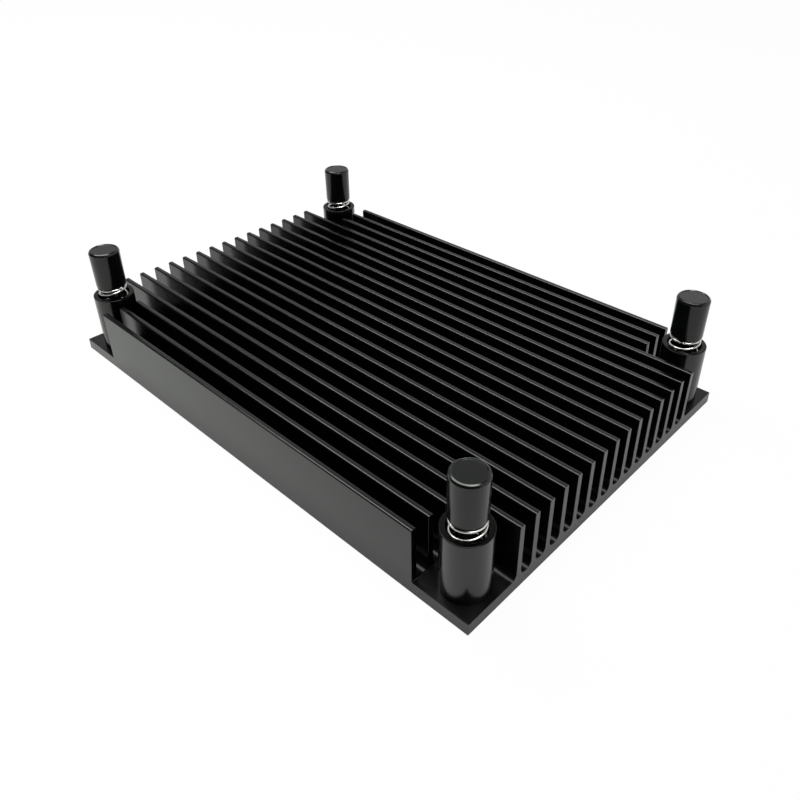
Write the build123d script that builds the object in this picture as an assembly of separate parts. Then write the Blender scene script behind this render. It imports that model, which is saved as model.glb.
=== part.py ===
from build123d import *
import math
import os

# Finned aluminium heat sink, held down by four captive spring-loaded screws.
# All sizes are in millimetres. X runs along the fins, Y across them and Z up.
# The origin is the centre of the flat underside.

# Extruded body: a thin base plate with straight fins on top
sink_length = 110.0
sink_width = 75.0
base_thickness = 2.3
fin_height = 10.7
fin_thickness = 1.1
fin_count = 21
fin_root_radius = 1.1
fin_edge_chamfer = 0.3

# Corner posts: how far in they stand, and the room between a sleeve and the fins that are milled away for it
post_inset_left = 6.3
post_inset_right = 5.1
post_inset_y = 5.3
pocket_clearance = 0.6

# Sleeve: a turned tube that stands on the base and is pressed into it by a short spigot
sleeve_diameter = 8.2
sleeve_height = 12.0
spring_bore_diameter = 6.4
spigot_wall = 0.95
lip_thickness = 1.0
lip_height = 4.0

# Screw: an M3 thread below a slimmer neck, so that the lip keeps it captive
thread_diameter = 3.0
thread_length = 3.6
thread_chamfer = 0.25
thread_clearance = 0.3
neck_diameter = 2.4
neck_clearance = 0.1
shoulder_gap = 0.05
neck_in_cap = 4.8

# Cap: a smooth knob with a slight draft, pressed on the end of the neck
cap_top_diameter = 6.15
cap_foot_diameter = 6.0
cap_height = 8.2
cap_gap = 2.0
cap_edge_radius = 0.55
cap_recess_depth = 0.15

# Spring: steel wire, with one nearly closed turn at each end
wire_diameter = 0.45
spring_diameter = 5.9
end_turn_pitch = 0.5
active_turns = 4
end_turns = 1
sides_per_turn = 13
wire_sides = 5

# Worked out from the sizes above
fin_pitch = (sink_width - fin_thickness) / (fin_count - 1)
pocket_length = max(post_inset_left, post_inset_right) + sleeve_diameter / 2 + pocket_clearance
pocket_reach = post_inset_y + sleeve_diameter / 2 + pocket_clearance
cut_fins = math.ceil(pocket_reach / fin_pitch)
pocket_width = cut_fins * fin_pitch - fin_root_radius

tip_bore_radius = thread_diameter / 2 + thread_clearance
spigot_radius = tip_bore_radius + spigot_wall
neck_radius = neck_diameter / 2
lip_top = lip_height + lip_thickness
sleeve_top = base_thickness + sleeve_height
cap_foot = sleeve_top + cap_gap
cap_top = cap_foot + cap_height
neck_top = cap_foot + neck_in_cap
shoulder = lip_height - shoulder_gap

post_left = -sink_length / 2 + post_inset_left
post_right = sink_length / 2 - post_inset_right
post_rear = sink_width / 2 - post_inset_y
post_places = {
    "front_left": (post_left, -post_rear),
    "front_right": (post_right, -post_rear),
    "rear_left": (post_left, post_rear),
    "rear_right": (post_right, post_rear),
}


def fin_profile():
    """Cross-section of the extrusion, in the YZ plane."""
    with BuildSketch(Plane.YZ) as profile:
        Rectangle(sink_width, base_thickness, align=(Align.CENTER, Align.MIN))
        with Locations((0, base_thickness)):
            with GridLocations(fin_pitch, 0, fin_count, 1):
                Rectangle(fin_thickness, fin_height, align=(Align.CENTER, Align.MIN))
        chamfer(profile.vertices().group_by(Axis.Y)[-1], fin_edge_chamfer)
        fillet(profile.vertices().group_by(Axis.Y)[1], fin_root_radius)
    return profile.sketch


def finned_body():
    """The extrusion, with its four milled pockets and the holes for the sleeves."""
    upright = (Align.CENTER, Align.CENTER, Align.MIN)
    with BuildPart() as body:
        add(extrude(fin_profile(), amount=sink_length / 2, both=True))
        with Locations((0, 0, base_thickness)):
            with GridLocations(sink_length - pocket_length, sink_width - pocket_width, 2, 2):
                Box(pocket_length, pocket_width, fin_height, align=upright, mode=Mode.SUBTRACT)
        with Locations(*post_places.values()):
            Cylinder(spigot_radius, base_thickness, align=upright, mode=Mode.SUBTRACT)
    return body.part


def turned(draw_outline):
    """Solid of revolution about Z, from half an outline drawn in the XZ plane."""
    with BuildPart() as solid:
        with BuildSketch(Plane.XZ):
            with BuildLine():
                draw_outline()
            make_face()
        revolve(axis=Axis.Z)
    return solid.part


def sleeve_outline():
    outer = sleeve_diameter / 2
    bore = spring_bore_diameter / 2
    hole = neck_radius + neck_clearance
    Polyline(
        (tip_bore_radius, 0),
        (spigot_radius, 0),
        (spigot_radius, base_thickness),
        (outer, base_thickness),
        (outer, sleeve_top),
        (bore, sleeve_top),
        (bore, lip_top),
        (hole, lip_top),
        (hole, lip_height),
        (tip_bore_radius, lip_height),
        close=True,
    )


def screw_outline():
    thread = thread_diameter / 2
    tip = shoulder - thread_length
    Polyline(
        (0, tip),
        (thread - thread_chamfer, tip),
        (thread, tip + thread_chamfer),
        (thread, shoulder),
        (neck_radius, shoulder),
        (neck_radius, neck_top),
        (0, neck_top),
        close=True,
    )


def cap_outline():
    """The drafted side is a straight Bezier and the round top edge is two bevels, for few facets."""
    top = cap_top_diameter / 2
    foot = cap_foot_diameter / 2
    round_centre = top - cap_edge_radius
    round_height = cap_top - cap_edge_radius
    bevel = cap_edge_radius * math.sin(math.pi / 4)
    outline = Polyline(
        (top, round_height),
        (round_centre + bevel, round_height + bevel),
        (round_centre, cap_top),
        (round_centre - cap_recess_depth, cap_top - cap_recess_depth),
        (0, cap_top - cap_recess_depth),
        (0, neck_top),
        (neck_radius, neck_top),
        (neck_radius, cap_foot),
        (foot, cap_foot),
    )
    Bezier(outline @ 1, outline @ 0)


def wire_height(turn):
    """Height of the wire's middle, so many turns up from the spring's lower end."""
    low = lip_top + wire_diameter / 2
    high = cap_foot - wire_diameter / 2
    closed_rise = end_turns * end_turn_pitch
    active_pitch = (high - low - 2 * closed_rise) / active_turns
    if turn < end_turns:
        return low + turn * end_turn_pitch
    if turn > end_turns + active_turns:
        return high - (2 * end_turns + active_turns - turn) * end_turn_pitch
    return low + closed_rise + (turn - end_turns) * active_pitch


def spring():
    """Compression spring between the sleeve's lip and the cap's underside.

    The wire follows a many-sided coil with mitred corners, because a smooth one is far heavier.
    """
    coil_radius = (spring_diameter - wire_diameter) / 2
    steps = (2 * end_turns + active_turns) * sides_per_turn
    points = []
    for step in range(steps + 1):
        turn = step / sides_per_turn
        angle = math.tau * turn
        points.append((coil_radius * math.cos(angle), coil_radius * math.sin(angle), wire_height(turn)))
    path = Polyline(*points)
    start = Plane(origin=path @ 0, z_dir=path % 0)
    wire = start * RegularPolygon(wire_diameter / 2, wire_sides)
    return sweep(wire, path=path, transition=Transition.RIGHT)


def main():
    os.makedirs("parts", exist_ok=True)
    export_step(finned_body(), "parts/finned_body.step")
    post_pieces = {
        "sleeve": turned(sleeve_outline),
        "screw": turned(screw_outline),
        "spring": spring(),
        "cap": turned(cap_outline),
    }
    for corner, (x, y) in post_places.items():
        for name, piece in post_pieces.items():
            export_step(Pos(x, y, 0) * piece, f"parts/{name}_{corner}.step")


main()
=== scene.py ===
"""Looks of a black anodised heat sink with four captive spring screws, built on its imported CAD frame."""

import logging
import math
from collections.abc import Sequence
from dataclasses import dataclass
from enum import Enum

import bmesh
import bpy
from bpy.types import Material, Mesh, Node, NodeSocket, NodeTree, Object
from mathutils import Matrix, Vector


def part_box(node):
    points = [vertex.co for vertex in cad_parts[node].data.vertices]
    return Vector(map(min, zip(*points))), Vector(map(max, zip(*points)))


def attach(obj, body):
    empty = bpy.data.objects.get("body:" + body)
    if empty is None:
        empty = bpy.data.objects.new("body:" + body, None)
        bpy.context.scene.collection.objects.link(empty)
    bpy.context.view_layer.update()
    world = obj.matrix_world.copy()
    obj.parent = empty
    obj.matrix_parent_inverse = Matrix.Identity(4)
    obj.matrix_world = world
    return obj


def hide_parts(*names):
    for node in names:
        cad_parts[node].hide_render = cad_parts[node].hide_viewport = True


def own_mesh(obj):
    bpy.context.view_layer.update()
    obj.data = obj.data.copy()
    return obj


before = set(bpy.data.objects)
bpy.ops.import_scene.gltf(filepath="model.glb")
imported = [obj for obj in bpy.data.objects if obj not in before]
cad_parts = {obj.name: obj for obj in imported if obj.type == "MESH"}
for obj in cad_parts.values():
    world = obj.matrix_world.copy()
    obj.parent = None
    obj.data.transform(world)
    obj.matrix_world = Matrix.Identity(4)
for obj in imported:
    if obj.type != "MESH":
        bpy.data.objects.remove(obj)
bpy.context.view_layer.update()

MM = 0.001
MICRON = 1e-6
SMOOTH_BELOW = math.radians(35)
TURNED_PATH = "turned_path"

# The node types that are used most.
MATH = "ShaderNodeMath"
VECTOR_MATH = "ShaderNodeVectorMath"
MAP_RANGE = "ShaderNodeMapRange"
MIX = "ShaderNodeMix"
COMBINE = "ShaderNodeCombineXYZ"

# How every finish varies: the size of its cloudy patches, in millimetres, and the noise values between
# which it passes from its dark tone to its light one, and from its glossiest to its dullest.
CLOUD_SIZE = 9.0
TONE_LIMITS = (0.12, 0.4)
GLOSS_LIMITS = (0.3, 0.7)

# The upward part of a face's direction where it starts to count as facing up, and where it fully does,
# and the shader's own reflection level, which the other faces keep.
FACING_UP = (0.05, 0.2)
USUAL_REFLECTION = 0.5

log = logging.getLogger("heat_sink")


class Corner(Enum):
    """The four corner posts, seen from the long side that the camera faces."""

    FRONT_LEFT = "front_left"
    FRONT_RIGHT = "front_right"
    REAR_LEFT = "rear_left"
    REAR_RIGHT = "rear_right"


def linear_colour(code: str) -> tuple[float, float, float, float]:
    """Turns an sRGB hex colour into linear values.

    Args:
        code: the colour as #rrggbb.

    Returns:
        Red, green, blue and an alpha of 1.
    """
    channels = [int(code[i : i + 2], 16) / 255 for i in (1, 3, 5)]
    red, green, blue = (c / 12.92 if c <= 0.04045 else ((c + 0.055) / 1.055) ** 2.4 for c in channels)
    return red, green, blue, 1.0


def add_node(
    tree: NodeTree, kind: str, inputs: dict[int | str, object] | None = None, **settings: object
) -> Node:
    """Adds a node with its settings and links.

    Args:
        tree: the node tree that gets it.
        kind: the node's type name.
        inputs: for each input, a value, a socket, or a node whose first output is linked.
        **settings: the node's own options.

    Returns:
        The new node.
    """
    node = tree.nodes.new(kind)
    for setting, value in settings.items():
        setattr(node, setting, value)
    for place, value in (inputs or {}).items():
        if isinstance(value, Node):
            value = value.outputs[0]
        if isinstance(value, NodeSocket):
            tree.links.new(value, node.inputs[place])
        else:
            node.inputs[place].default_value = value
    return node


@dataclass(frozen=True)
class Finish:
    """A surface finish: two close tones, its gloss, its grain and the marks that its making leaves.

    The grain and the marks are real sizes in millimetres, and their depths are in microns. Upward faces
    between the two dull heights, in millimetres above the underside, are duller than the rest.
    """

    name: str
    slot: str
    tone: str
    light_tone: str
    metallic: float
    roughness: float
    roughness_spread: float
    grain: float
    grain_depth: float
    ior: float = 1.5
    dull_heights: tuple[float, float] = (0.0, 0.0)
    dull_roughness: float = 0.3
    dull_reflection: float = 0.25

    def marks(self, tree: NodeTree, place: NodeSocket) -> list[tuple[Node, float]]:
        """Marks of the making: a height node and a depth in microns each. A plain finish has none."""
        return []

    def material(self) -> Material:
        """Builds the material.

        Returns:
            A node-based material that reads Object coordinates.
        """
        material = bpy.data.materials.new(self.name)
        material.use_nodes = True
        tree = material.node_tree
        shader = tree.nodes["Principled BSDF"]
        place = add_node(tree, "ShaderNodeTexCoord").outputs["Object"]

        cloud = add_node(
            tree,
            "ShaderNodeTexNoise",
            {"Vector": place, "Scale": 1 / (CLOUD_SIZE * MM), "Detail": 4.0, "Roughness": 0.6},
        )
        grain = add_node(
            tree, "ShaderNodeTexNoise", {"Vector": place, "Scale": 1 / (self.grain * MM), "Detail": 3.0}
        )
        blotch = add_node(tree, MATH, {0: cloud, 1: grain}, operation="MULTIPLY")
        darkest, lightest = TONE_LIMITS
        share = add_node(tree, MAP_RANGE, {"Value": blotch, "From Min": darkest, "From Max": lightest})
        tone = add_node(
            tree,
            MIX,
            {0: share, 6: linear_colour(self.tone), 7: linear_colour(self.light_tone)},
            data_type="RGBA",
        )
        glossiest, dullest = GLOSS_LIMITS
        gloss = add_node(
            tree,
            MAP_RANGE,
            {
                "Value": cloud,
                "From Min": glossiest,
                "From Max": dullest,
                "To Min": self.roughness - self.roughness_spread,
                "To Max": self.roughness + self.roughness_spread,
            },
        )
        normal = None
        for height, depth in [(grain, self.grain_depth), *self.marks(tree, place)]:
            inputs = {"Height": height, "Distance": depth * MICRON, "Strength": 1.0}
            if normal:
                inputs["Normal"] = normal
            normal = add_node(tree, "ShaderNodeBump", inputs)
        tree.links.new(tone.outputs[2], shader.inputs["Base Color"])
        tree.links.new(gloss.outputs[0], shader.inputs["Roughness"])
        tree.links.new(normal.outputs[0], shader.inputs["Normal"])
        shader.inputs["Metallic"].default_value = self.metallic
        shader.inputs["IOR"].default_value = self.ior
        if any(self.dull_heights):
            self.dull_upward_faces(tree, shader, gloss)
        return material

    def dull_upward_faces(self, tree: NodeTree, shader: Node, gloss: Node) -> None:
        """Makes the upward faces between the dull heights rougher and less reflective.

        Args:
            tree: the material's nodes.
            shader: the material's shader.
            gloss: the node that gives the roughness of the other faces.
        """
        bottom, top = self.dull_heights
        barely, fully = FACING_UP
        seen = add_node(tree, "ShaderNodeTexCoord").outputs
        height = add_node(tree, "ShaderNodeSeparateXYZ", {0: seen["Object"]}).outputs["Z"]
        facing_up = add_node(tree, "ShaderNodeSeparateXYZ", {0: seen["Normal"]}).outputs["Z"]
        below = add_node(tree, MATH, {0: height, 1: top * MM}, operation="LESS_THAN")
        above = add_node(tree, MATH, {0: height, 1: bottom * MM}, operation="GREATER_THAN")
        dull = add_node(
            tree, MAP_RANGE, {"Value": facing_up, "From Min": barely, "From Max": fully, "To Max": below}
        )
        dull = add_node(tree, MATH, {0: dull, 1: above}, operation="MULTIPLY")
        rougher = add_node(tree, MIX, {0: dull, 2: gloss, 3: self.dull_roughness}, data_type="FLOAT")
        reflection = add_node(
            tree, MIX, {0: dull, 2: USUAL_REFLECTION, 3: self.dull_reflection}, data_type="FLOAT"
        )
        tree.links.new(rougher.outputs[0], shader.inputs["Roughness"])
        tree.links.new(reflection.outputs[0], shader.inputs["Specular IOR Level"])


@dataclass(frozen=True)
class ExtrudedFinish(Finish):
    """Extruded metal: faint die lines along X, the marks of the die's land."""

    line_width: float = 0.35
    line_length: float = 45.0
    line_depth: float = 3.0

    def marks(self, tree: NodeTree, place: NodeSocket) -> list[tuple[Node, float]]:
        """Draws the die lines, as noise drawn out along X.

        Args:
            tree: the material's nodes.
            place: the point on the surface, in Object coordinates.

        Returns:
            The lines' height node, with their depth in microns.
        """
        across = 1 / (self.line_width * MM)
        along = 1 / (self.line_length * MM)
        drawn = add_node(tree, "ShaderNodeMapping", {"Vector": place, "Scale": (along, across, across)})
        lines = add_node(tree, "ShaderNodeTexNoise", {"Vector": drawn, "Scale": 1.0, "Detail": 2.0})
        return [(lines, self.line_depth)]


@dataclass(frozen=True)
class TurnedFinish(Finish):
    """Turned metal: fine tool lines that run round the piece, read from its path attribute.

    The tool's feed was about 0.05 mm a turn. It is drawn coarser here, because that would not show.
    """

    feed: float = 0.16
    feed_depth: float = 1.5

    def marks(self, tree: NodeTree, place: NodeSocket) -> list[tuple[Node, float]]:
        """Draws the tool lines, as noise along the outline's length only.

        Args:
            tree: the material's nodes.
            place: the point on the surface, which these lines don't need.

        Returns:
            The lines' height node, with their depth in microns.
        """
        path = add_node(tree, "ShaderNodeAttribute", attribute_name=TURNED_PATH)
        lines = add_node(
            tree,
            "ShaderNodeTexNoise",
            {"W": path.outputs["Fac"], "Scale": 1 / self.feed, "Detail": 1.0},
            noise_dimensions="1D",
        )
        return [(lines, self.feed_depth)]


# Aluminium 6063 profile, etched, anodised and dyed black: the film hides the metal, so light meets a
# dark satin oxide that mirrors pale surroundings softly, and more strongly at a low angle. Upward faces
# low between the fins, at their roots, are rougher and reflect half as much, which dims their highlights.
ANODISED_EXTRUSION = ExtrudedFinish(
    name="black_anodised_extrusion",
    slot="anodised_extrusion",
    tone="#030404",
    light_tone="#080909",
    metallic=0.0,
    roughness=0.21,
    roughness_spread=0.03,
    grain=0.22,
    grain_depth=1.2,
    ior=1.45,
    dull_heights=(2.25, 3.4),
)
# The same film on turned bar, a little smoother than on the etched profile, with a duller faced end.
ANODISED_SLEEVE = TurnedFinish(
    name="black_anodised_turned_sleeve",
    slot="anodised_sleeve",
    tone="#030404",
    light_tone="#080909",
    metallic=0.0,
    roughness=0.2,
    roughness_spread=0.03,
    grain=0.2,
    grain_depth=0.6,
    dull_heights=(14.0, 14.4),
    dull_roughness=0.2,
    dull_reflection=0.16,
)
# The same film on the caps: a little lighter, faintly green, with a coarser grain and a soft even gloss.
ANODISED_CAP = TurnedFinish(
    name="black_anodised_turned_cap",
    slot="anodised_cap",
    tone="#050706",
    light_tone="#0c110e",
    metallic=0.0,
    roughness=0.19,
    roughness_spread=0.04,
    grain=0.3,
    grain_depth=1.5,
    ior=1.43,
)
# Steel blackened in a hot oxide bath: dark, with a faint oily gloss.
BLACKENED_STEEL = TurnedFinish(
    name="black_oxide_steel",
    slot="blackened_steel",
    tone="#2a2928",
    light_tone="#3b3937",
    metallic=1.0,
    roughness=0.32,
    roughness_spread=0.05,
    grain=0.15,
    grain_depth=0.8,
)
# Stainless spring wire, drawn through a die and left bright: each coil has a clean, nearly white glint.
SPRING_WIRE = Finish(
    name="bright_drawn_spring_wire",
    slot="spring_wire",
    tone="#c9c8c7",
    light_tone="#dedddc",
    metallic=1.0,
    roughness=0.2,
    roughness_spread=0.04,
    grain=0.12,
    grain_depth=0.5,
)


@dataclass(frozen=True)
class OutlinePoint:
    """A corner of a turned outline, in millimetres: radius, height, and how far it is rounded."""

    radius: float
    height: float
    rounding: float = 0.0


def rounded_outline(
    corners: Sequence[OutlinePoint], arc_steps: int = 6, support: float = 0.03
) -> list[Vector]:
    """Draws a closed outline whose corners are arcs.

    Args:
        corners: the outline's corners in order.
        arc_steps: straight steps in each arc.
        support: length of the short step on each side of an arc, which keeps the flats flat when shaded.

    Returns:
        Points of radius and height, in millimetres.
    """
    points = []
    for i, corner in enumerate(corners):
        here = Vector((corner.radius, corner.height))
        if corner.rounding == 0:
            points.append(here)
            continue
        before, after = corners[i - 1], corners[(i + 1) % len(corners)]
        back = (Vector((before.radius, before.height)) - here).normalized()
        ahead = (Vector((after.radius, after.height)) - here).normalized()
        half = back.angle(ahead) / 2
        centre = here + (back + ahead).normalized() * corner.rounding / math.sin(half)
        reach = corner.rounding / math.tan(half)
        start = here + back * reach - centre
        end = here + ahead * reach - centre
        sweep = math.pi - 2 * half
        points.append(centre + start + back * support)
        for step in range(arc_steps + 1):
            turn = sweep * step / arc_steps
            spoke = (start * math.sin(sweep - turn) + end * math.sin(turn)) / math.sin(sweep)
            points.append(centre + spoke)
        points.append(centre + end + ahead * support)
    return points


def smooth_by_angle(mesh: Mesh) -> None:
    """Shades a mesh smooth, apart from its edges that turn further than a rounded corner's steps."""
    mesh.shade_smooth()
    mesh.set_sharp_from_angle(angle=SMOOTH_BELOW)


def plain_object(name: str, mesh: Mesh) -> Object:
    """Links a new object at the origin.

    Args:
        name: the object's name.
        mesh: what it shows.

    Returns:
        The object.
    """
    piece = bpy.data.objects.new(name, mesh)
    bpy.context.scene.collection.objects.link(piece)
    return piece


def evaluated_mesh(piece: Object) -> Mesh:
    """Gives the plain mesh that an object's modifiers make."""
    seen = piece.evaluated_get(bpy.context.evaluated_depsgraph_get())
    return bpy.data.meshes.new_from_object(seen)


def bake(piece: Object) -> None:
    """Replaces an object's mesh and modifiers by the mesh that they make."""
    piece.data = evaluated_mesh(piece)
    piece.modifiers.clear()


def turned_mesh(
    name: str, outline: Sequence[Vector], axis: tuple[float, float], segments: int = 96
) -> Mesh:
    """Turns an outline about a vertical axis into a closed mesh.

    Args:
        name: the mesh's name.
        outline: points of radius and height in millimetres. Points on the axis become poles.
        axis: where the axis stands, in metres.
        segments: facets around the axis.

    Returns:
        A mesh in metres, facing outwards. An attribute gives the outline's length up to each point, in
        millimetres.
    """
    centre = Vector((*axis, 0))
    form = bmesh.new()
    path_layer = form.verts.layers.float.new(TURNED_PATH)
    rings = []
    path = 0.0
    for i, point in enumerate(outline):
        path += (point - outline[i - 1]).length if i else 0.0
        copies = segments if point.x > 0 else 1
        ring = []
        for k in range(copies):
            angle = math.tau * k / segments
            place = Vector((point.x * math.cos(angle), point.x * math.sin(angle), point.y)) * MM
            vertex = form.verts.new((centre.x + place.x, centre.y + place.y, place.z))
            vertex[path_layer] = path
            ring.append(vertex)
        rings.append(ring)
    for lower, upper in zip(rings, rings[1:] + rings[:1]):
        if len(lower) == 1 and len(upper) == 1:
            continue
        for k in range(segments):
            after = (k + 1) % segments
            face = [
                lower[k % len(lower)],
                lower[after % len(lower)],
                upper[after % len(upper)],
                upper[k % len(upper)],
            ]
            form.faces.new(list(dict.fromkeys(face)))
    bmesh.ops.recalc_face_normals(form, faces=form.faces)
    mesh = bpy.data.meshes.new(name)
    form.to_mesh(mesh)
    form.free()
    smooth_by_angle(mesh)
    return mesh


class NodeTool:
    """A Geometry Nodes tree with named inputs, which is run once and leaves a plain mesh."""

    SOCKETS = {float: "NodeSocketFloat", int: "NodeSocketInt", Material: "NodeSocketMaterial"}

    def __init__(self, name: str, **values: float | int | Material) -> None:
        """Starts the tree.

        Args:
            name: what the tree makes.
            **values: the tree's inputs by name, with the value that each gets.
        """
        self.name = name
        self.values = values
        self.tree = bpy.data.node_groups.new(name, "GeometryNodeTree")
        sockets = self.tree.interface
        sockets.new_socket("Geometry", in_out="INPUT", socket_type="NodeSocketGeometry")
        sockets.new_socket("Geometry", in_out="OUTPUT", socket_type="NodeSocketGeometry")
        for key, value in values.items():
            sockets.new_socket(key, in_out="INPUT", socket_type=self.SOCKETS[type(value)])
        self.given = self.add("NodeGroupInput").outputs

    def add(self, kind: str, inputs: dict[int | str, object] | None = None, **settings: object) -> Node:
        """Adds a node to the tree, as add_node does."""
        return add_node(self.tree, kind, inputs, **settings)

    def run(self, geometry: Node, start: Mesh | None = None) -> Mesh:
        """Ends the tree and runs it on a mesh, which leaves no modifier behind.

        Args:
            geometry: the node whose first output is the finished shape.
            start: the mesh that the tree works on, or None where it makes its own.

        Returns:
            The finished mesh.
        """
        real = self.add("GeometryNodeRealizeInstances", {0: geometry})
        dressed = self.add("GeometryNodeSetMaterial", {0: real, "Material": self.given["material"]})
        self.add("NodeGroupOutput", {0: dressed})
        carrier = plain_object(self.name, start or bpy.data.meshes.new(self.name))
        modifier = carrier.modifiers.new(self.name, "NODES")
        modifier.node_group = self.tree
        for socket in self.tree.interface.items_tree:
            if socket.in_out == "INPUT" and socket.name in self.values:
                modifier[socket.identifier] = self.values[socket.name]
        carrier.update_tag()
        mesh = evaluated_mesh(carrier)
        bpy.data.objects.remove(carrier)
        return mesh


def dress(
    piece: Object, body: str, node: str, finish: Finish, materials: dict[Finish, Material]
) -> None:
    """Gives a finished piece its material and ties it to the frame.

    Args:
        piece: the piece, in place.
        body: the CAD body that it moves with.
        node: the CAD node that it stands for.
        finish: the piece's finish.
        materials: the material of each finish.
    """
    piece.data.materials.clear()
    piece.data.materials.append(materials[finish])
    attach(piece, body)
    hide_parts(node)
    faces = len(piece.data.polygons)
    log.info("%s: %d faces, rides on %s, stands for %s", piece.name, faces, body, node)


@dataclass
class FinnedBody:
    """The extrusion: base plate and fins in one, with four milled corner pockets and the sleeves' holes.

    Sizes are in millimetres, as in the part's source. Edges past the sharp angle are broken.
    """

    POINTS_PER_FIN = 4.0

    base_thickness: float = 2.3
    fin_thickness: float = 1.1
    fin_count: int = 21
    root_radius: float = 1.1
    edge_radius: float = 0.32
    pocket_length: float = 11.0
    cut_fins: int = 3
    hole_radius: float = 2.75
    hole_facets: int = 64
    rounding_steps: int = 4
    broken_edge: float = 0.06
    broken_edge_steps: int = 3
    sharp_angle: float = math.radians(40)

    def outline(self, tool: NodeTool) -> Node:
        """Draws the extrusion's section in the XY plane.

        Four points belong to each fin: its root, two top corners and its other root. The first and the
        last point drop to the underside, which closes the outline.

        Args:
            tool: the tree that the nodes go into.

        Returns:
            The node whose first output is the closed curve.
        """
        given = tool.given
        per_fin = self.POINTS_PER_FIN
        middle_point = (per_fin - 1) / 2
        points = tool.add(MATH, {0: given["fins"], 1: per_fin}, operation="MULTIPLY")
        line = tool.add("GeometryNodeCurvePrimitiveLine")
        line = tool.add("GeometryNodeResampleCurve", {"Curve": line, "Count": points})
        index = tool.add("GeometryNodeInputIndex")
        fin = tool.add(MATH, {0: index, 1: per_fin}, operation="DIVIDE")
        fin = tool.add(MATH, {0: fin}, operation="FLOOR")
        corner = tool.add(MATH, {0: index, 1: per_fin}, operation="MODULO")
        off_middle = tool.add(MATH, {0: corner, 1: middle_point}, operation="SUBTRACT")
        off_middle_size = tool.add(MATH, {0: off_middle}, operation="ABSOLUTE")
        at_top = tool.add(MATH, {0: off_middle_size, 1: 1.0}, operation="LESS_THAN")
        side = tool.add(MATH, {0: off_middle}, operation="SIGN")

        last_fin = tool.add(MATH, {0: given["fins"], 1: 1.0}, operation="SUBTRACT")
        spread = tool.add(MATH, {0: given["width"], 1: given["thickness"]}, operation="SUBTRACT")
        pitch = tool.add(MATH, {0: spread, 1: last_fin}, operation="DIVIDE")
        middle = tool.add(MATH, {0: last_fin, 1: 0.5}, operation="MULTIPLY")
        from_middle = tool.add(MATH, {0: fin, 1: middle}, operation="SUBTRACT")
        half_fin = tool.add(MATH, {0: given["thickness"], 1: 0.5}, operation="MULTIPLY")
        half_fin = tool.add(MATH, {0: half_fin, 1: side}, operation="MULTIPLY")
        across = tool.add(MATH, {0: from_middle, 1: pitch, 2: half_fin}, operation="MULTIPLY_ADD")

        # Inner points are more than a quarter of a step nearer the middle than the first and the last.
        last_point = tool.add(MATH, {0: points, 1: 1.0}, operation="SUBTRACT")
        half_count = tool.add(MATH, {0: last_point, 1: 0.5}, operation="MULTIPLY")
        off_half = tool.add(MATH, {0: index, 1: half_count}, operation="SUBTRACT")
        off_half = tool.add(MATH, {0: off_half}, operation="ABSOLUTE")
        inner_limit = tool.add(MATH, {0: half_count, 1: 0.25}, operation="SUBTRACT")
        inner = tool.add(MATH, {0: off_half, 1: inner_limit}, operation="LESS_THAN")
        fin_rise = tool.add(MATH, {0: given["height"], 1: given["base"]}, operation="SUBTRACT")
        up = tool.add(MATH, {0: at_top, 1: fin_rise, 2: given["base"]}, operation="MULTIPLY_ADD")
        up = tool.add(MATH, {0: up, 1: inner}, operation="MULTIPLY")
        place = tool.add(COMBINE, {"X": across, "Y": up})
        line = tool.add("GeometryNodeSetPosition", {"Geometry": line, "Position": place})
        line = tool.add("GeometryNodeSetSplineCyclic", {0: line, "Cyclic": True})

        root = tool.add(MATH, {0: inner, 1: given["root radius"]}, operation="MULTIPLY")
        rounding = tool.add(MIX, {0: at_top, 2: root, 3: given["edge radius"]}, data_type="FLOAT")
        return tool.add(
            "GeometryNodeFilletCurve",
            {"Curve": line, "Count": self.rounding_steps, "Radius": rounding},
            mode="POLY",
        )

    def cut_four(
        self,
        tool: NodeTool,
        bar: Node,
        cutter: Node,
        length: NodeSocket,
        width: NodeSocket,
        middle: Node,
    ) -> Node:
        """Cuts a shape out of the bar at the four corners of a rectangle.

        Args:
            tool: the tree that the nodes go into.
            bar: the node that gives the bar.
            cutter: the node that gives the shape to cut out.
            length: the rectangle's length.
            width: the rectangle's width.
            middle: the node that gives the rectangle's middle.

        Returns:
            The node that gives the cut bar.
        """
        corners = tool.add(
            "GeometryNodeMeshGrid", {"Size X": length, "Size Y": width, "Vertices X": 2, "Vertices Y": 2}
        )
        cutters = tool.add("GeometryNodeInstanceOnPoints", {"Points": corners, "Instance": cutter})
        cutters = tool.add("GeometryNodeSetPosition", {"Geometry": cutters, "Offset": middle})
        cutters = tool.add("GeometryNodeRealizeInstances", {0: cutters})
        return tool.add(
            "GeometryNodeMeshBoolean", {0: bar, 1: cutters}, operation="DIFFERENCE", solver="EXACT"
        )

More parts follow.
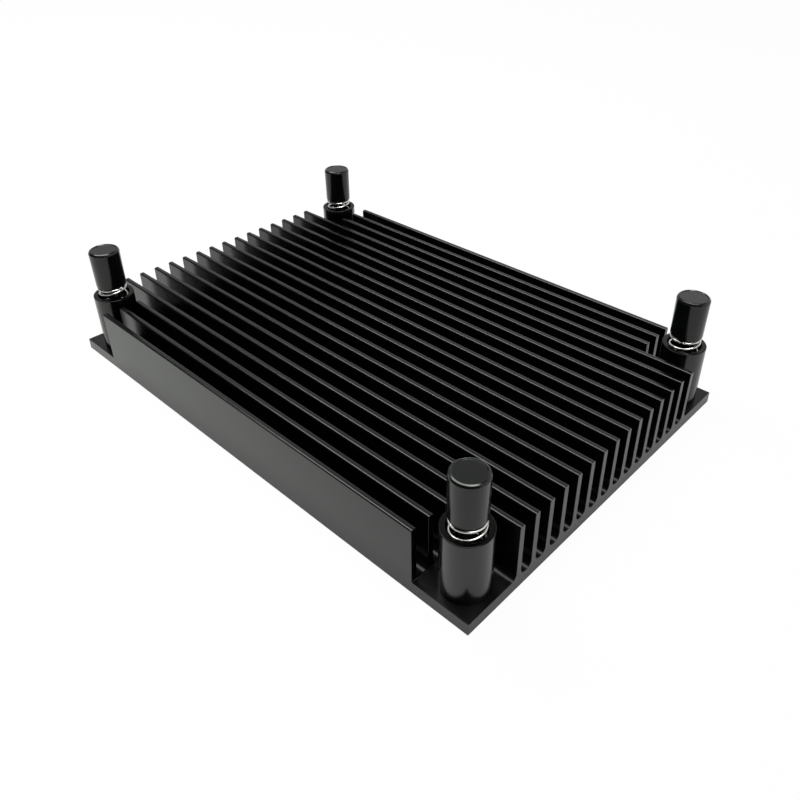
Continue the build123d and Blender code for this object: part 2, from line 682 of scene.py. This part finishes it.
    def build(self, material: Material) -> Object:
        """Extrudes the section, mills the pockets, drills the holes and breaks the sharp edges.

        Args:
            material: the extrusion's finish.

        Returns:
            The finished body, in metres.
        """
        low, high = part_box("finned_body")
        pitch = ((high.y - low.y) / MM - self.fin_thickness) / (self.fin_count - 1)
        pocket_width = self.cut_fins * pitch - self.root_radius
        left, _ = post_place(Corner.FRONT_LEFT)
        right, rear = post_place(Corner.REAR_RIGHT)
        tool = NodeTool(
            "finned_body_tool",
            **{
                "length": high.x - low.x,
                "width": high.y - low.y,
                "height": high.z,
                "base": self.base_thickness * MM,
                "thickness": self.fin_thickness * MM,
                "fins": self.fin_count,
                "root radius": self.root_radius * MM,
                "edge radius": self.edge_radius * MM,
                "pocket length": self.pocket_length * MM,
                "pocket width": pocket_width * MM,
                "hole radius": self.hole_radius * MM,
                "holes middle": (left + right) / 2,
                "holes apart in x": right - left,
                "holes apart in y": 2 * rear,
                "material": material,
            },
        )
        given = tool.given
        half_length = tool.add(MATH, {0: given["length"], 1: 0.5}, operation="MULTIPLY")
        start = tool.add(MATH, {0: half_length, 1: -1.0}, operation="MULTIPLY")
        path = tool.add(
            "GeometryNodeCurvePrimitiveLine",
            {
                "Start": tool.add(COMBINE, {"Z": start}),
                "End": tool.add(COMBINE, {"Z": half_length}),
            },
        )
        bar = tool.add(
            "GeometryNodeCurveToMesh",
            {"Curve": path, "Profile Curve": self.outline(tool), "Fill Caps": True},
        )
        bar = tool.add("GeometryNodeFlipFaces", {0: bar})
        along_x = (math.radians(90), 0.0, math.radians(90))
        bar = tool.add("GeometryNodeTransform", {"Geometry": bar, "Rotation": along_x})

        # A mill stands on each top corner of the bar, so it is twice as large as its pocket.
        fin_rise = tool.add(MATH, {0: given["height"], 1: given["base"]}, operation="SUBTRACT")
        pocket = tool.add(
            COMBINE, {"X": given["pocket length"], "Y": given["pocket width"], "Z": fin_rise}
        )
        mill_size = tool.add(VECTOR_MATH, {0: pocket, 1: (2.0, 2.0, 2.0)}, operation="MULTIPLY")
        mill = tool.add("GeometryNodeMeshCube", {"Size": mill_size})
        fin_tops = tool.add(COMBINE, {"Z": given["height"]})
        bar = self.cut_four(tool, bar, mill, given["length"], given["width"], fin_tops)

        drill = tool.add(
            "GeometryNodeMeshCylinder",
            {"Vertices": self.hole_facets, "Radius": given["hole radius"], "Depth": given["height"]},
        )
        holes_middle = tool.add(COMBINE, {"X": given["holes middle"]})
        apart_x, apart_y = given["holes apart in x"], given["holes apart in y"]
        bar = self.cut_four(tool, bar, drill, apart_x, apart_y, holes_middle)

        body = plain_object("finned_body_milled", tool.run(bar))
        edge = body.modifiers.new("broken_edge", "BEVEL")
        edge.width = self.broken_edge * MM
        edge.segments = self.broken_edge_steps
        edge.limit_method = "ANGLE"
        edge.angle_limit = self.sharp_angle
        edge.use_clamp_overlap = False
        bake(body)
        smooth_by_angle(body.data)
        body.modifiers.new("flat_faces_stay_flat", "WEIGHTED_NORMAL").keep_sharp = True
        bake(body)
        return body


def post_place(corner: Corner) -> tuple[float, float]:
    """Where a post's axis stands, in metres, read from its sleeve in the frame."""
    low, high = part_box(f"sleeve_{corner.value}")
    return (low.x + high.x) / 2, (low.y + high.y) / 2


@dataclass
class Sleeve:
    """The turned tube that stands on the base, with a lip inside and a spigot below.

    Sizes are in millimetres. The edges are radii that the tool left.
    """

    outer_radius: float = 4.1
    bore_radius: float = 3.2
    top: float = 14.3
    shoulder: float = 2.3
    spigot_radius: float = 2.75
    tip_bore_radius: float = 1.8
    neck_hole_radius: float = 1.3
    lip_bottom: float = 4.0
    lip_top: float = 5.0
    hidden_edge: float = 0.1
    outer_edge: float = 0.12
    mouth_edge: float = 0.15

    def build(self, corner: Corner) -> Object:
        """Turns the sleeve.

        Args:
            corner: which post the sleeve belongs to.

        Returns:
            The finished sleeve, in metres.
        """
        corners = [
            OutlinePoint(self.spigot_radius, 0.0, self.hidden_edge),
            OutlinePoint(self.spigot_radius, self.shoulder),
            OutlinePoint(self.outer_radius, self.shoulder, self.outer_edge),
            OutlinePoint(self.outer_radius, self.top, self.outer_edge),
            OutlinePoint(self.bore_radius, self.top, self.mouth_edge),
            OutlinePoint(self.bore_radius, self.lip_top),
            OutlinePoint(self.neck_hole_radius, self.lip_top, self.hidden_edge),
            OutlinePoint(self.neck_hole_radius, self.lip_bottom, self.hidden_edge),
            OutlinePoint(self.tip_bore_radius, self.lip_bottom),
            OutlinePoint(self.tip_bore_radius, 0.0, self.hidden_edge),
        ]
        name = f"sleeve_turned_{corner.value}"
        return plain_object(name, turned_mesh(name, rounded_outline(corners), post_place(corner)))


@dataclass
class Cap:
    """The drafted knob on the screw's neck, with a twice bevelled top edge and a recess.

    Sizes are in millimetres. The bevels are measured inwards and their slopes down from level. The edges
    are the radii on the recess, between the bevels, on the shoulder below them and on the foot.
    """

    top_radius: float = 3.075
    foot_radius: float = 3.0
    foot: float = 16.3
    top: float = 24.5
    neck_radius: float = 1.2
    neck_top: float = 21.1
    recess: float = 0.15
    upper_bevel: float = 0.26
    upper_slope: float = math.radians(25)
    lower_bevel: float = 0.21
    lower_slope: float = math.radians(57)
    recess_edge: float = 0.06
    bevel_edge: float = 0.15
    shoulder_edge: float = 0.25
    foot_edge: float = 0.3

    def build(self, corner: Corner) -> Object:
        """Turns the cap.

        Args:
            corner: which post the cap belongs to.

        Returns:
            The finished cap, in metres.
        """
        edge = self.top_radius - self.lower_bevel
        dish = edge - self.upper_bevel
        floor = self.top - self.recess
        edge_height = self.top - self.upper_bevel * math.tan(self.upper_slope)
        shoulder = edge_height - self.lower_bevel * math.tan(self.lower_slope)
        corners = [
            OutlinePoint(0.0, floor),
            OutlinePoint(dish - self.recess, floor, self.recess_edge),
            OutlinePoint(dish, self.top, self.recess_edge),
            OutlinePoint(edge, edge_height, self.bevel_edge),
            OutlinePoint(self.top_radius, shoulder, self.shoulder_edge),
            OutlinePoint(self.foot_radius, self.foot, self.foot_edge),
            OutlinePoint(self.neck_radius, self.foot),
            OutlinePoint(self.neck_radius, self.neck_top),
            OutlinePoint(0.0, self.neck_top),
        ]
        name = f"cap_turned_{corner.value}"
        return plain_object(name, turned_mesh(name, rounded_outline(corners), post_place(corner)))


@dataclass
class CaptiveScrew:
    """An M3 screw with a thread only at its tip and a slimmer neck above. Sizes are in millimetres.

    The thread's full depth ends some turns below the shoulder, and then it runs out. Its crest and its
    root are flat for the given shares of the way from one to the other. A point is on the crest from the
    crest limit times the thread's radius, so that the neck and the chamfer stay as they are.
    """

    thread_radius: float = 1.5
    neck_radius: float = 1.2
    tip: float = 0.35
    shoulder: float = 3.95
    neck_top: float = 21.1
    tip_chamfer: float = 0.3
    pitch: float = 0.5
    depth: float = 0.28
    crest_flat: float = 0.15
    root_flat: float = 0.1
    full_depth_ends: float = 0.6
    run_out: float = 0.5
    crest_limit: float = 0.999
    rows_per_turn: int = 10
    facets: int = 48

    def blank(self, corner: Corner) -> Mesh:
        """Turns the blank, with close rows where the thread will be rolled.

        Args:
            corner: which post the screw belongs to.

        Returns:
            The blank's mesh, in metres.
        """
        rows = round((self.shoulder - self.tip - self.tip_chamfer) / self.pitch * self.rows_per_turn)
        first = self.tip + self.tip_chamfer
        heights = [first + (self.shoulder - first) * i / rows for i in range(rows + 1)]
        outline = [
            Vector((0.0, self.tip)),
            Vector((self.thread_radius - self.tip_chamfer, self.tip)),
            *[Vector((self.thread_radius, height)) for height in heights],
            Vector((self.neck_radius, self.shoulder)),
            Vector((self.neck_radius, self.neck_top)),
            Vector((0.0, self.neck_top)),
        ]
        return turned_mesh("screw_blank", outline, post_place(corner), segments=self.facets)

    def build(self, corner: Corner, material: Material) -> Object:
        """Rolls the thread into the blank.

        Args:
            corner: which post the screw belongs to.
            material: the screw's finish.

        Returns:
            The finished screw, in metres.
        """
        centre_x, centre_y = post_place(corner)
        tool = NodeTool(
            "thread_tool",
            **{
                "centre x": centre_x,
                "centre y": centre_y,
                "pitch": self.pitch * MM,
                "depth": self.depth * MM,
                "last height": (self.shoulder - self.full_depth_ends * self.pitch) * MM,
                "crest radius": self.thread_radius * MM,
                "material": material,
            },
        )
        given = tool.given
        centre = tool.add(COMBINE, {"X": given["centre x"], "Y": given["centre y"]})
        place = tool.add("GeometryNodeInputPosition")
        from_axis = tool.add(VECTOR_MATH, {0: place, 1: centre}, operation="SUBTRACT")
        split = tool.add("ShaderNodeSeparateXYZ", {0: from_axis})
        angle = tool.add(MATH, {0: split.outputs["Y"], 1: split.outputs["X"]}, operation="ARCTAN2")
        turn = tool.add(MATH, {0: angle, 1: math.tau}, operation="DIVIDE")
        rise = tool.add(MATH, {0: split.outputs["Z"], 1: given["pitch"]}, operation="DIVIDE")
        phase = tool.add(MATH, {0: rise, 1: turn}, operation="SUBTRACT")
        phase_twice = tool.add(MATH, {0: phase, 1: 2.0}, operation="MULTIPLY")
        wave = tool.add(MATH, {0: phase_twice, 1: 1.0}, operation="PINGPONG")
        groove = tool.add(
            MAP_RANGE, {"Value": wave, "From Min": self.crest_flat, "From Max": 1 - self.root_flat}
        )
        thread_end = tool.add(
            MATH, {0: given["pitch"], 1: self.run_out, 2: given["last height"]}, operation="MULTIPLY_ADD"
        )
        run_out = tool.add(
            MAP_RANGE,
            {
                "Value": split.outputs["Z"],
                "From Min": given["last height"],
                "From Max": thread_end,
                "To Min": 1.0,
                "To Max": 0.0,
            },
        )
        cut = tool.add(MATH, {0: groove, 1: run_out}, operation="MULTIPLY")
        cut = tool.add(MATH, {0: cut, 1: given["depth"]}, operation="MULTIPLY")
        flat = tool.add(VECTOR_MATH, {0: from_axis, 1: (1.0, 1.0, 0.0)}, operation="MULTIPLY")
        radius = tool.add(VECTOR_MATH, {0: flat}, operation="LENGTH")
        outer = tool.add(MATH, {0: given["crest radius"], 1: self.crest_limit}, operation="MULTIPLY")
        on_crest = tool.add(MATH, {0: radius.outputs["Value"], 1: outer}, operation="GREATER_THAN")
        cut = tool.add(MATH, {0: cut, 1: on_crest}, operation="MULTIPLY")
        inward = tool.add(VECTOR_MATH, {0: flat}, operation="NORMALIZE")
        inward_size = tool.add(MATH, {0: cut, 1: -1.0}, operation="MULTIPLY")
        inward = tool.add(VECTOR_MATH, {0: inward, "Scale": inward_size}, operation="SCALE")
        rolled = tool.add("GeometryNodeSetPosition", {"Geometry": given["Geometry"], "Offset": inward})
        mesh = tool.run(rolled, self.blank(corner))
        smooth_by_angle(mesh)
        return plain_object(f"screw_threaded_{corner.value}", mesh)


@dataclass
class Spring:
    """The compression spring, with one nearly closed turn at each end.

    Sizes are in millimetres. The pressed share is what is left of its length when its cap is down.
    """

    wire_radius: float = 0.225
    coil_radius: float = 2.725
    end_turn_pitch: float = 0.5
    active_turns: int = 4
    end_turns: int = 1
    steps_per_turn: int = 60
    wire_facets: int = 12
    pressed_share: float = 0.64

    def build(self, corner: Corner, phase: float, material: Material) -> Object:
        """Winds the spring.

        Args:
            corner: which post the spring belongs to.
            phase: where the wire's lower end points, in turns from +X.
            material: the wire's finish.

        Returns:
            The finished spring, in metres.
        """
        low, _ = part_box(f"spring_{corner.value}")
        cap_low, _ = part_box(f"cap_{corner.value}")
        centre_x, centre_y = post_place(corner)
        tool = NodeTool(
            "spring_tool",
            **{
                "centre x": centre_x,
                "centre y": centre_y,
                "coil radius": self.coil_radius * MM,
                "wire radius": self.wire_radius * MM,
                "lowest": low.z + self.wire_radius * MM,
                "highest": cap_low.z - self.wire_radius * MM,
                "turns": self.active_turns + 2 * self.end_turns,
                "end turns": self.end_turns,
                "end pitch": self.end_turn_pitch * MM,
                "steps": self.steps_per_turn,
                "phase": phase,
                "material": material,
            },
        )
        given = tool.given
        steps = tool.add(MATH, {0: given["turns"], 1: given["steps"]}, operation="MULTIPLY")
        count = tool.add(MATH, {0: steps, 1: 1.0}, operation="ADD")
        line = tool.add("GeometryNodeCurvePrimitiveLine")
        line = tool.add("GeometryNodeResampleCurve", {"Curve": line, "Count": count})
        index = tool.add("GeometryNodeInputIndex")
        turn = tool.add(MATH, {0: index, 1: given["steps"]}, operation="DIVIDE")
        angle = tool.add(MATH, {0: turn, 1: given["phase"]}, operation="ADD")
        angle = tool.add(MATH, {0: angle, 1: math.tau}, operation="MULTIPLY")
        cosine = tool.add(MATH, {0: angle}, operation="COSINE")
        sine = tool.add(MATH, {0: angle}, operation="SINE")
        coil_radius = given["coil radius"]
        x = tool.add(MATH, {0: cosine, 1: coil_radius, 2: given["centre x"]}, operation="MULTIPLY_ADD")
        y = tool.add(MATH, {0: sine, 1: coil_radius, 2: given["centre y"]}, operation="MULTIPLY_ADD")

        end_turns = given["end turns"]
        last_active = tool.add(MATH, {0: given["turns"], 1: end_turns}, operation="SUBTRACT")
        active = tool.add(MATH, {0: last_active, 1: end_turns}, operation="SUBTRACT")
        rise = tool.add(MATH, {0: given["highest"], 1: given["lowest"]}, operation="SUBTRACT")
        both_ends = tool.add(MATH, {0: end_turns, 1: 2.0}, operation="MULTIPLY")
        end_rise = tool.add(MATH, {0: both_ends, 1: given["end pitch"]}, operation="MULTIPLY")
        active_rise = tool.add(MATH, {0: rise, 1: end_rise}, operation="SUBTRACT")
        in_active = {"Value": turn, "From Min": end_turns, "From Max": last_active}
        risen = tool.add(MAP_RANGE, {**in_active, "To Max": active_rise})
        active_part = tool.add(MAP_RANGE, {**in_active, "To Max": active})
        closed_part = tool.add(MATH, {0: turn, 1: active_part}, operation="SUBTRACT")
        closed_rise = tool.add(
            MATH, {0: closed_part, 1: given["end pitch"], 2: given["lowest"]}, operation="MULTIPLY_ADD"
        )
        z = tool.add(MATH, {0: risen, 1: closed_rise}, operation="ADD")
        place = tool.add(COMBINE, {"X": x, "Y": y, "Z": z})
        coil = tool.add("GeometryNodeSetPosition", {"Geometry": line, "Position": place})
        section = tool.add(
            "GeometryNodeCurvePrimitiveCircle",
            {"Resolution": self.wire_facets, "Radius": given["wire radius"]},
        )
        wire = tool.add(
            "GeometryNodeCurveToMesh", {"Curve": coil, "Profile Curve": section, "Fill Caps": True}
        )
        mesh = tool.run(wire)
        smooth_by_angle(mesh)
        return plain_object(f"spring_wound_{corner.value}", mesh)


@dataclass
class PhotoCamera:
    """The camera of the photograph: where it stands around the part, and its lens.

    Angles are in degrees, places in millimetres and the picture's measures in pixels.
    """

    azimuth: float = -46.846
    elevation: float = 32.295
    roll: float = -0.14
    distance: float = 164.975
    right: float = 7.575
    up: float = 7.928
    frame_width: float = 800.0
    focal_length: float = 775.19
    centre_right: float = 18.698
    centre_down: float = -64.151
    sensor: float = 36.0
    nearest_seen: float = 1.0

    def build(self) -> None:
        """Sets the camera up and makes it the scene's."""
        azimuth, elevation, roll = (math.radians(a) for a in (self.azimuth, self.elevation, self.roll))
        level_part = math.cos(elevation)
        back = Vector(
            (level_part * math.cos(azimuth), level_part * math.sin(azimuth), math.sin(elevation))
        )
        level = (-back).cross(Vector((0, 0, 1))).normalized()
        rise = level.cross(-back)
        right = level * math.cos(roll) + rise * math.sin(roll)
        up = rise * math.cos(roll) - level * math.sin(roll)
        lens = bpy.data.cameras.new("photo_camera")
        lens.sensor_fit = "HORIZONTAL"
        lens.sensor_width = self.sensor
        lens.lens = self.focal_length / self.frame_width * self.sensor
        lens.shift_x = -self.centre_right / self.frame_width
        lens.shift_y = self.centre_down / self.frame_width
        lens.clip_start = self.nearest_seen * MM
        camera = bpy.data.objects.new("photo_camera", lens)
        place = (back * self.distance + right * self.right + up * self.up) * MM
        camera.matrix_world = Matrix.Translation(place) @ Matrix((right, up, back)).transposed().to_4x4()
        bpy.context.scene.collection.objects.link(camera)
        bpy.context.scene.camera = camera


@dataclass(frozen=True)
class SoftBox:
    """A level soft box overhead. Lengths in metres, power in watts."""

    name: str
    power: float
    length: float
    width: float
    place: tuple[float, float, float]
    lights_table: bool = True
    tone: str = "#f9fff8"

    def build(self) -> None:
        """Hangs the box. One that leaves the table unlit is seen only as a highlight."""
        light = bpy.data.lights.new(self.name, "AREA")
        light.color = linear_colour(self.tone)[:3]
        light.shape = "RECTANGLE"
        light.energy = self.power
        light.size = self.length
        light.size_y = self.width
        lamp = bpy.data.objects.new(self.name, light)
        lamp.location = self.place
        lamp.visible_diffuse = self.lights_table
        bpy.context.scene.collection.objects.link(lamp)


def ray_kinds(tree: NodeTree) -> tuple[NodeSocket, Node]:
    """Tells the camera's own rays and the mirrored or refracted ones from the rest.

    Args:
        tree: the node tree that asks.

    Returns:
        A socket that is 1 for the camera's rays, and a node that gives 1 for mirrored and refracted.
    """
    rays = add_node(tree, "ShaderNodeLightPath").outputs
    mirrored = add_node(
        tree, MATH, {0: rays["Is Glossy Ray"], 1: rays["Is Transmission Ray"]}, operation="MAXIMUM"
    )
    return rays["Is Camera Ray"], mirrored


@dataclass
class Studio:
    """White table in a tent that darkens upwards, with soft boxes overhead, at a plain level.

    Lengths are in metres. Each edge of the tent is where one wall passes into the next, as two parts of
    a unit direction: along X at the rear corner, along Y toward the front wall, along Z at the roof, and
    along Z down to the foot, where the tent is white.
    """

    floor_size: float = 4.0
    floor_gap: float = 0.00005
    floor_tone: str = "#f4f4f3"
    shown_white: float = 0.97
    mirrored_white: float = 0.45
    world_light: float = 0.1
    rear_left_wall: float = 0.58
    rear_right_wall: float = 0.95
    roof: float = 0.05
    front_wall: float = 0.05
    rear_corner: tuple[float, float] = (-0.6, -0.3)
    front_edge: tuple[float, float] = (0.1, -0.15)
    roof_edge: tuple[float, float] = (0.6, 0.84)
    foot_edge: tuple[float, float] = (0.1, 0.0)
    soft_boxes: tuple[SoftBox, ...] = (
        SoftBox("long_soft_box", power=3.75, length=0.5, width=0.27, place=(-0.2, -0.035, 0.5)),
        SoftBox(
            "small_soft_box",
            power=3.3,
            length=0.3,
            width=0.27,
            place=(0.2, -0.035, 0.5),
            lights_table=False,
        ),
    )

    def floor(self) -> None:
        """Lays the white table, which shows the camera a little of the part's shadow."""
        half = self.floor_size / 2
        mesh = bpy.data.meshes.new("table")
        outline = ((-half, -half), (half, -half), (half, half), (-half, half))
        mesh.from_pydata([(x, y, -self.floor_gap) for x, y in outline], [], [(0, 1, 2, 3)])
        material = bpy.data.materials.new("white_table_paper")
        material.use_nodes = True
        tree = material.node_tree
        tree.nodes.remove(tree.nodes["Principled BSDF"])
        paper = add_node(tree, "ShaderNodeBsdfDiffuse", {"Color": linear_colour(self.floor_tone)})
        white = add_node(tree, "ShaderNodeEmission", {"Strength": 1.0})
        from_camera, mirrored = ray_kinds(tree)
        shown = add_node(tree, MATH, {0: from_camera, 1: self.shown_white}, operation="MULTIPLY")
        share = add_node(
            tree, MATH, {0: mirrored, 1: self.mirrored_white, 2: shown}, operation="MULTIPLY_ADD"
        )
        look = add_node(tree, "ShaderNodeMixShader", {0: share, 1: paper, 2: white})
        tree.links.new(look.outputs[0], tree.nodes["Material Output"].inputs["Surface"])
        mesh.materials.append(material)
        plain_object("table", mesh)

    def world(self) -> None:
        """Sets up the surroundings: white to the camera, an even light, and in mirrors a tent.

        The tent darkens upwards, and its wall on the camera's side is dark.
        """
        world = bpy.data.worlds.new("white_tent")
        world.use_nodes = True
        tree = world.node_tree
        sky = tree.nodes["Background"]
        sky.inputs["Color"].default_value = linear_colour("#ffffff")
        direction = add_node(tree, "ShaderNodeTexCoord").outputs["Generated"]
        split = add_node(tree, "ShaderNodeSeparateXYZ", {0: direction})
        tent = self.rear_left_wall
        for axis, (begin, end), wall in (
            ("X", self.rear_corner, self.rear_right_wall),
            ("Z", self.roof_edge, self.roof),
            ("Y", self.front_edge, self.front_wall),
            ("Z", self.foot_edge, 1.0),
        ):
            tent = add_node(
                tree,
                MAP_RANGE,
                {
                    "Value": split.outputs[axis],
                    "From Min": begin,
                    "From Max": end,
                    "To Min": tent,
                    "To Max": wall,
                },
            )
        from_camera, mirrored = ray_kinds(tree)
        strength = add_node(tree, MIX, {0: mirrored, 2: self.world_light, 3: tent}, data_type="FLOAT")
        strength = add_node(tree, MIX, {0: from_camera, 2: strength, 3: 1.0}, data_type="FLOAT")
        tree.links.new(strength.outputs[0], sky.inputs["Strength"])
        bpy.context.scene.world = world

    def build(self) -> None:
        """Sets up the table, the surroundings, the soft boxes and the plain view transform."""
        self.floor()
        self.world()
        for soft_box in self.soft_boxes:
            soft_box.build()
        bpy.context.scene.view_settings.view_transform = "Standard"


# Where each spring's wire starts, in turns from +X, as its ends show under the caps.
SPRING_PHASES = {
    Corner.FRONT_LEFT: 0.03,
    Corner.FRONT_RIGHT: 0.42,
    Corner.REAR_LEFT: 0.16,
    Corner.REAR_RIGHT: 0.22,
}


def main() -> None:
    """Builds the camera, the studio and the sub-assemblies, in that order."""
    PhotoCamera().build()
    Studio().build()
    materials = {
        finish: finish.material()
        for finish in (ANODISED_EXTRUSION, ANODISED_SLEEVE, ANODISED_CAP, BLACKENED_STEEL, SPRING_WIRE)
    }
    body = FinnedBody().build(materials[ANODISED_EXTRUSION])
    dress(body, "sink", "finned_body", ANODISED_EXTRUSION, materials)
    for corner in Corner:
        place = corner.value
        sleeve = Sleeve().build(corner)
        dress(sleeve, "sink", f"sleeve_{place}", ANODISED_SLEEVE, materials)
        cap = Cap().build(corner)
        dress(cap, f"screw_{place}", f"cap_{place}", ANODISED_CAP, materials)
        screw = CaptiveScrew().build(corner, materials[BLACKENED_STEEL])
        dress(screw, f"screw_{place}", f"screw_{place}", BLACKENED_STEEL, materials)
        spring_sizes = Spring()
        spring = spring_sizes.build(corner, SPRING_PHASES[corner], materials[SPRING_WIRE])
        dress(spring, f"spring_{place}", f"spring_{place}", SPRING_WIRE, materials)
        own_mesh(spring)


if __name__ == "__main__":
    logging.basicConfig(level=logging.INFO, format="%(name)s: %(message)s")
    main()
